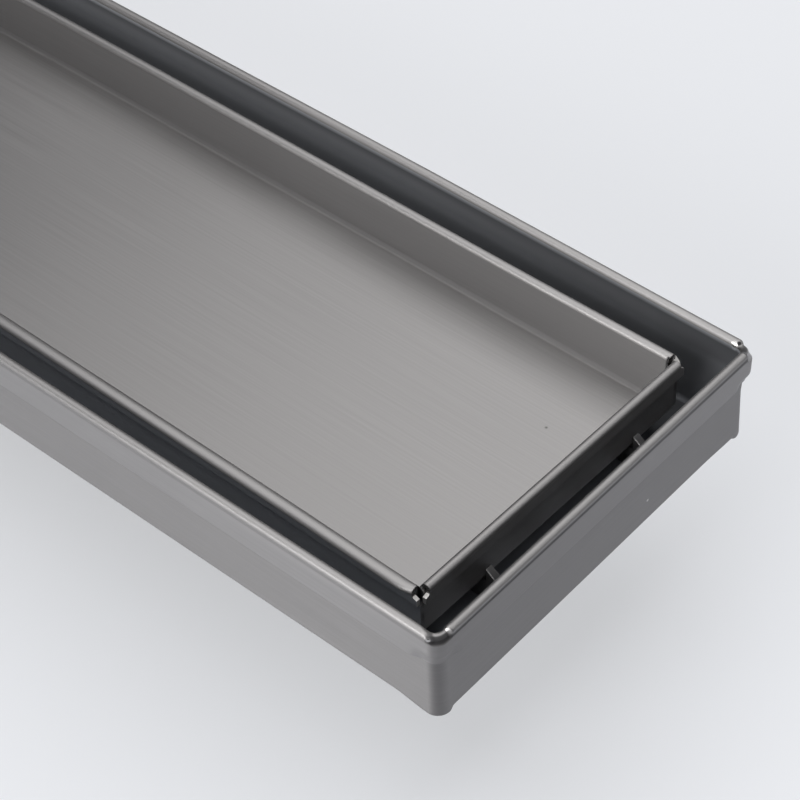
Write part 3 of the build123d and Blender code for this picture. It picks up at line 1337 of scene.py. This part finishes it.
    def wall(self, maker: MeshMaker, side: Side) -> None:
        """Build one wall: both faces of its sheet, and the two cut ends as strips between them.

        The open front hem is dull below its round, in a lighter colour that is painted light, and a cut end
        below the tab's top is bare. The walls inside, their bends, the last columns at each end and the cut
        ends above the tabs carry painted shade.

        Args:
            maker: The mesh to add to.
            side: The wall.
        """
        fold = self.fold
        inner, outer = fold.inner_face(), fold.outer_face()
        near, far = (self.settle(self.face(side, section)) for section in (inner, outer))
        around = np.concatenate((near, far[::-1]))
        section = np.concatenate((inner, outer[::-1]))
        along = np.einsum("rci,i->rc", around[..., :2], side.along)
        across = np.broadcast_to(lengths(section)[:, None], along.shape)
        shade = np.zeros(along.shape)
        # Painted shade on the walls inside, on their bends and on the slit at each end
        shade[fold.wall_rows] = -self.wall_shade
        bend = ease(np.arange(fold.bend_steps) / self.bend_first_rows)
        shade[fold.bend_rows] = -self.bend_shade * bend[:, None]
        before, after = self.rim_rows
        shade[fold.wall_rows.stop - before : fold.crown_rows.start + after, (0, 1, -2, -1)] = -1
        grain = np.stack((across, along), axis=-1)
        first = fold.flange_rows.start
        maker.add(around[:first], grain[:first], shade[:first])
        rest = slice(first - 1, None)
        # The open front hem below its round takes the dull finish, whose lighter colour is painted light
        hem_finish = Finish.DULL if side is Side.FRONT else Finish.SHEET
        maker.add(around[rest], grain[rest], shade[rest], hem_finish)
        # Painted shade on the cut end of the hem's round above the tab
        dark = np.zeros((len(inner), 2))
        dark[fold.crown_rows.start :] = -self.cut_shade
        tabs = self.tabs(side, inner[:, 1])
        for column, order, reach in ((0, (far, near), tabs[0]), (-1, (near, far), tabs[1])):
            tab = int(np.argmax(reach > 0)) - 1
            strip = np.stack([face[:, column] for face in order], axis=1)
            marks = np.stack((strip @ (*side.outward, 0), strip[..., 2]), axis=-1)
            maker.add(strip[: tab + 1], marks[: tab + 1], dark[: tab + 1])
            maker.add(strip[tab:], marks[tab:], finish=Finish.CUT)

    def floor(self, maker: MeshMaker) -> None:
        """Build both faces of the flat floor on the walls' own places.

        Args:
            maker: The mesh to add to.
        """
        x = self.places(self.half_length - self.fold.bend_end, self.lengthwise_steps)
        y = self.places(self.half_width - self.fold.bend_end, self.crosswise_steps)
        x, y = np.meshgrid(x, y, indexing="ij")
        for height, flip in ((self.fold.floor, 1), (self.fold.floor - self.fold.sheet, -1)):
            grid = self.settle(np.stack((x, y, np.full_like(x, height)), axis=-1)[:, ::flip])
            maker.add(grid, grid[..., 1::-1])

    def build(
        self, sheet: bpy.types.Material, dull: bpy.types.Material, cut: bpy.types.Material
    ) -> bpy.types.Object:
        """Build the tray and let it stand for its node.

        Args:
            sheet: Finish of the sheet.
            dull: Finish of the open hem below its round.
            cut: Finish of the tabs' cut ends.

        Returns:
            The piece.
        """
        maker = MeshMaker(self.name)
        for side in Side:
            self.wall(maker, side)
        self.floor(maker)
        return carry(maker.make([sheet, dull, cut]), GUNMETAL_SLOT, "tile_insert_tray")


@dataclass
class Legs:
    """The upright plates between the channel's floor and the tray."""

    tray: Tray
    toe_reach: float = 8.4
    toe_tip: float = 2.9
    edge_round: float = 0.2
    edge_segments: int = 2

    def outline(self, node: str, low: np.ndarray, high: np.ndarray) -> np.ndarray:
        """Outline of a plate seen from the front, anticlockwise.

        Args:
            node: The plate's node.
            low: Lowest corner of its box.
            high: Highest corner of its box.

        Returns:
            One X and Z per row. A middle leg is its box, and an end leg slopes down to a toe at its outer
            end.
        """
        if node.startswith("middle"):
            return np.array(((low[0], low[2]), (high[0], low[2]), (high[0], high[2]), (low[0], high[2])))
        under_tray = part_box("tile_insert_tray")[0].z / MM
        reach = high[0] - low[0]
        shape = np.array(
            (
                (0, low[2]),
                (reach, low[2]),
                (reach, low[2] + self.toe_tip),
                (reach - self.toe_reach, high[2]),
                (reach - self.toe_reach, under_tray),
                (0, under_tray),
            )
        )
        if node.endswith("left"):
            shape = shape[::-1] * (-1, 1)
            return shape + (high[0], 0)
        return shape + (low[0], 0)

    def plate(self, node: str, finish: bpy.types.Material) -> bpy.types.Object:
        """Build one plate: its outline at the front and the back face, joined by the edge, then rounded.

        Args:
            node: The plate's node.
            finish: Finish of the plate.

        Returns:
            The piece.
        """
        low, high = (np.array(corner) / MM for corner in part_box(node))
        outline = self.outline(node, low, high)
        count = len(outline)
        middle = (low + high) / 2
        shift = self.tray.settle(middle) - middle
        outline[:, 0] += shift[0]
        points = np.concatenate([np.insert(outline, 1, y + shift[1], axis=1) for y in (low[1], high[1])])
        ring = np.arange(count)
        edges = np.stack((ring, ring + count, (ring + 1) % count + count, (ring + 1) % count), axis=-1)
        faces = [ring.tolist(), (ring[::-1] + count).tolist(), *edges.tolist()]
        mesh = bpy.data.meshes.new(f"{node}_plate")
        mesh.from_pydata(points * MM, [], faces)
        layer = mesh.uv_layers.new(name=GRAIN)
        numbers = np.zeros(len(mesh.loops), dtype=np.int32)
        mesh.loops.foreach_get("vertex_index", numbers)
        grain = np.column_stack((points[:, 1] + points[:, 2], points[:, 0]))
        layer.data.foreach_set("uv", grain[numbers].astype(np.float32).ravel())
        mesh.materials.append(finish)
        piece = bpy.data.objects.new(mesh.name, mesh)
        bpy.context.scene.collection.objects.link(piece)
        rounding = piece.modifiers.new("Dressed edges", "BEVEL")
        rounding.width = self.edge_round * MM
        rounding.segments = self.edge_segments
        mesh.shade_smooth()
        mesh.set_sharp_from_angle(angle=SHARP_ANGLE)
        return carry(piece, GUNMETAL_SLOT, node)

    def build(self, finish: bpy.types.Material) -> list[bpy.types.Object]:
        """Build every plate in the frame, and return them."""
        return [self.plate(node, finish) for node in sorted(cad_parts) if "_leg_" in node]


@dataclass
class Outlet:
    """The tube that carries the water away, and the weld that holds it under the channel."""

    radius: float
    length: float
    wall: float = 1.5
    chamfer: float = 0.4
    edge_round: float = 0.25
    steps: int = 180
    bead_radius: float = 1.25
    bead_ripple: float = 0.12
    bead_sink: float = 0.3
    bead_bare: float = 0.35
    ripple_spacing: float = 1.6
    ripple_steps: int = 8
    bead_steps: int = 18

    def tube(self, finish: bpy.types.Material) -> bpy.types.Object:
        """Turn the tube's section round its axis: a wall with a chamfered foot outside and rounded edges.

        Args:
            finish: Finish of the tube.

        Returns:
            The piece.
        """
        bore = self.radius - self.wall
        edge, chamfer = self.edge_round, self.chamfer
        section = np.concatenate(
            (
                run((self.radius, self.length), (self.radius, chamfer), np.array((0, 0.01, 0.5, 0.98, 1))),
                ((self.radius - chamfer, 0),),
                arc((bore + edge, edge), edge, 270, 180, 5),
                run((bore, edge), (bore, self.length), np.array((0.02, 0.5, 0.99, 1))),
            )
        )
        turn = np.arange(self.steps) * 2 * math.pi / self.steps
        x, y = section[:, :1] * np.cos(turn), section[:, :1] * np.sin(turn)
        points = np.stack((x, y, np.repeat(section[:, 1:], self.steps, axis=1)), axis=-1)[:, ::-1]
        around = np.linspace(0, 2 * math.pi * self.radius, self.steps + 1)
        across, along = np.meshgrid(lengths(np.concatenate((section, section[:1]))), around, indexing="ij")
        maker = MeshMaker("spigot_tube")
        maker.add(points, np.stack((along, across), axis=-1))
        return carry(maker.make([finish]), GUNMETAL_SLOT, "outlet_spigot")

    def bead(self, finish: bpy.types.Material) -> bpy.types.Object:
        """Lay the weld round the tube's top: a ring that swells as a sine's size with each drop of filler.

        Args:
            finish: Finish of the weld.

        Returns:
            The piece.
        """
        drops = round(2 * math.pi * self.radius / self.ripple_spacing)
        steps = drops * self.ripple_steps
        turn = np.arange(steps) * 2 * math.pi / steps
        swell = self.bead_radius + self.bead_ripple * np.abs(np.sin(turn * drops / 2))
        ring = np.arange(self.bead_steps)[:, None] * 2 * math.pi / self.bead_steps
        r = self.radius + self.bead_sink + swell * np.cos(ring)
        z = self.length - self.bead_sink + swell * np.sin(ring)
        points = np.stack((r * np.cos(turn), r * np.sin(turn), z), axis=-1)[:, ::-1]
        around = np.linspace(0, 2 * math.pi * self.radius, len(turn) + 1)
        section = np.linspace(0, 2 * math.pi * self.bead_radius, self.bead_steps + 1)
        across, along = np.meshgrid(section, around, indexing="ij")
        maker = MeshMaker("spigot_weld_bead")
        maker.add(points, np.stack((along, across), axis=-1), np.full(z.shape, self.bead_bare))
        return carry(maker.make([finish]), GUNMETAL_SLOT)

    def build(self, finish: bpy.types.Material) -> list[bpy.types.Object]:
        """Build the tube and its weld, and return them."""
        return [self.tube(finish), self.bead(finish)]


@dataclass
class Strainer:
    """The slotted disc that rests over the outlet."""

    node: str = "hair_strainer"

    def dress(self, finish: bpy.types.Material) -> bpy.types.Object:
        """Give the disc's own node its finish.

        Args:
            finish: Finish of the disc.

        Returns:
            The node's object.
        """
        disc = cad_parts[self.node]
        disc.data.materials.clear()
        disc.data.materials.append(finish)
        LOG.info("%s: dressed", self.node)
        return disc


@dataclass(frozen=True)
class Softbox:
    """A large diffused lamp that points at the drain."""

    name: str
    place: tuple[float, float, float]
    size: tuple[float, float]
    radiance: float
    target: tuple[float, float, float] = (0.2, 0.0, 0.05)

    def build(self) -> bpy.types.Object:
        """Hang the lamp. Its power is its radiance times its area times pi.

        Returns:
            The lamp's object.
        """
        lamp = bpy.data.lights.new(self.name, "AREA")
        lamp.shape = "RECTANGLE"
        lamp.size, lamp.size_y = self.size
        lamp.energy = self.radiance * self.size[0] * self.size[1] * math.pi
        box = bpy.data.objects.new(self.name, lamp)
        back = np.array(self.place) - np.array(self.target)
        back /= np.linalg.norm(back)
        right = np.cross((0, 1, 0), back)
        right /= np.linalg.norm(right)
        axes = np.column_stack((right, np.cross(back, right), back, self.place))
        box.matrix_world = Matrix(np.block([[axes], [0, 0, 0, 1]]).tolist())
        box.visible_camera = False
        bpy.context.scene.collection.objects.link(box)
        return box


@dataclass
class Studio:
    """The plain pale floor, the soft light and the camera, in metres unless a name says otherwise."""

    floor_half: float = 6.0
    floor_colour: str = "#E5E7EC"
    floor_glow: float = 0.4
    glow_colour: str = "#F7F8F9"
    world_zenith: str = "#8B8C90"
    world_horizon: str = "#303033"
    world_top: float = 0.9
    backdrop_colour: str = "#E8E9EB"
    softboxes: tuple[Softbox, ...] = (
        Softbox("Overhead softbox", (-0.25, 0.55, 1.9), (2.2, 3.5), 1.5, (-0.25, 0.55, 0.0)),
        Softbox("Front strip", (-0.3, -1.7, 0.42), (2.6, 0.8), 6.6),
        Softbox("Right back softbox", (1.7, 1.5, 1.5), (1.2, 1.0), 1.2),
    )
    camera_place_mm: tuple[float, float, float] = (482.552, -260.456, 409.692)
    camera_azimuth: float = -47.972
    camera_elevation: float = 45.276
    camera_roll: float = -1.791
    focal_length_px: float = 2464.961
    image_side_px: int = 800
    sensor_mm: float = 36.0

    def floor(self) -> bpy.types.Object:
        """Lay the floor: a flat grid of pale matt paper, which the camera sees lighter than it is lit.

        Returns:
            The floor.
        """
        line = np.linspace(-self.floor_half, self.floor_half, 3) / MM
        x, y = np.meshgrid(line, line, indexing="ij")
        grid = np.stack((x, y, np.zeros_like(x)), axis=-1)
        material = bpy.data.materials.new("Paper, matt and pale")
        tree = new_tree(material)
        matt = add_node(tree, "ShaderNodeBsdfDiffuse", None, {"Color": linear_rgba(self.floor_colour)})
        glow = add_node(tree, "ShaderNodeEmission", None, {"Color": linear_rgba(self.glow_colour)})
        ray = add_node(tree, "ShaderNodeLightPath").outputs["Is Camera Ray"]
        share = add_node(tree, "ShaderNodeMath", {"operation": "MULTIPLY"}, {0: ray, 1: self.floor_glow})
        mix = add_node(
            tree, "ShaderNodeMixShader", None, {0: share.outputs[0], 1: matt.outputs[0], 2: glow.outputs[0]}
        )
        add_node(tree, "ShaderNodeOutputMaterial", None, {"Surface": mix.outputs[0]})
        maker = MeshMaker("studio_floor")
        maker.add(grid, grid[..., :2])
        floor = maker.make([material])
        return floor

    def world(self) -> None:
        """Fill the room with a dim light that is brighter overhead, and show the camera a pale backdrop."""
        world = bpy.data.worlds.new("Studio")
        bpy.context.scene.world = world
        tree = new_tree(world)
        ray = add_node(tree, "ShaderNodeLightPath").outputs["Is Camera Ray"]
        direction = add_node(tree, "ShaderNodeTexCoord").outputs["Generated"]
        height = add_node(tree, "ShaderNodeSeparateXYZ", None, {0: direction}).outputs["Z"]
        share = add_node(
            tree,
            "ShaderNodeMapRange",
            {"interpolation_type": "SMOOTHSTEP"},
            {"Value": height, "From Min": 0.0, "From Max": self.world_top},
        )
        light = add_node(
            tree,
            "ShaderNodeMix",
            {"data_type": "RGBA"},
            {
                "Factor": share.outputs["Result"],
                6: linear_rgba(self.world_horizon),
                7: linear_rgba(self.world_zenith),
            },
        )
        colour = add_node(
            tree,
            "ShaderNodeMix",
            {"data_type": "RGBA"},
            {"Factor": ray, 6: light.outputs[2], 7: linear_rgba(self.backdrop_colour)},
        )
        background = add_node(tree, "ShaderNodeBackground", None, {"Color": colour.outputs[2]})
        add_node(tree, "ShaderNodeOutputWorld", None, {"Surface": background.outputs[0]})

    def camera(self) -> bpy.types.Object:
        """Set up the camera where the photograph was taken from, with its lens.

        The view's back direction is given by the azimuth and elevation, and the right and up directions are
        turned about it by the roll.

        Returns:
            The camera.
        """
        azimuth, elevation, roll = np.radians((self.camera_azimuth, self.camera_elevation, self.camera_roll))
        level = np.array((math.cos(azimuth), math.sin(azimuth), 0))
        back = level * math.cos(elevation) + (0, 0, math.sin(elevation))
        right = np.cross((0, 0, 1), back)
        right /= np.linalg.norm(right)
        up = np.cross(back, right)
        right, up = (
            math.cos(roll) * right + math.sin(roll) * up,
            math.cos(roll) * up - math.sin(roll) * right,
        )
        lens = bpy.data.cameras.new("Camera")
        lens.sensor_width = self.sensor_mm
        lens.lens = self.focal_length_px * self.sensor_mm / self.image_side_px
        camera = bpy.data.objects.new("Camera", lens)
        axes = np.column_stack((right, up, back, np.array(self.camera_place_mm) * MM))
        camera.matrix_world = Matrix(np.block([[axes], [0, 0, 0, 1]]).tolist())
        bpy.context.scene.collection.objects.link(camera)
        bpy.context.scene.camera = camera
        return camera

    def build(self) -> None:
        """Build the whole studio."""
        self.camera()
        self.floor()
        self.world()
        for box in self.softboxes:
            box.build()
        bpy.context.scene.view_settings.view_transform = "Standard"


def main() -> None:
    """Build and dress every piece in order, then the studio, and note the sizes."""
    logging.basicConfig(level=logging.INFO, format="%(name)s: %(message)s")
    Studio().build()
    gunmetal = BrushedGunmetal().material()
    # The dull finish's lighter colour is painted light in the gaps, on the floor and under the tray's hem
    pickled = PickledGunmetal().material()
    cut = ShearedSteel().material()
    channel_low, channel_high = (np.array(corner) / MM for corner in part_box("channel_body"))
    tray_low, tray_high = (np.array(corner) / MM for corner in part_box("tile_insert_tray"))
    spigot_high = np.array(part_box("outlet_spigot")[1]) / MM
    outlet = Outlet(radius=spigot_high[0], length=spigot_high[2])
    channel_floor = channel_low[2] + DISH_DEPTH + SHEET
    channel_fold = FoldedSheet(rim=channel_high[2], floor=channel_floor, hem_drop=CHANNEL_HEM_DROP)
    channel = Channel(
        fold=channel_fold,
        half_length=channel_high[0],
        half_width=channel_high[1],
        bore_radius=outlet.radius - outlet.wall,
        dish_bottom=channel_low[2],
    )
    channel.build(gunmetal, pickled)
    tray_fold = FoldedSheet(rim=tray_high[2], floor=tray_low[2] + SHEET, hem_drop=TRAY_HEM_DROP)
    tray = Tray(fold=tray_fold, half_length=tray_high[0], half_width=tray_high[1])
    tray.build(gunmetal, pickled, cut)
    Legs(tray=tray).build(gunmetal)
    outlet.build(gunmetal)
    Strainer().dress(MillStainless().material())


if __name__ == "__main__":
    main()
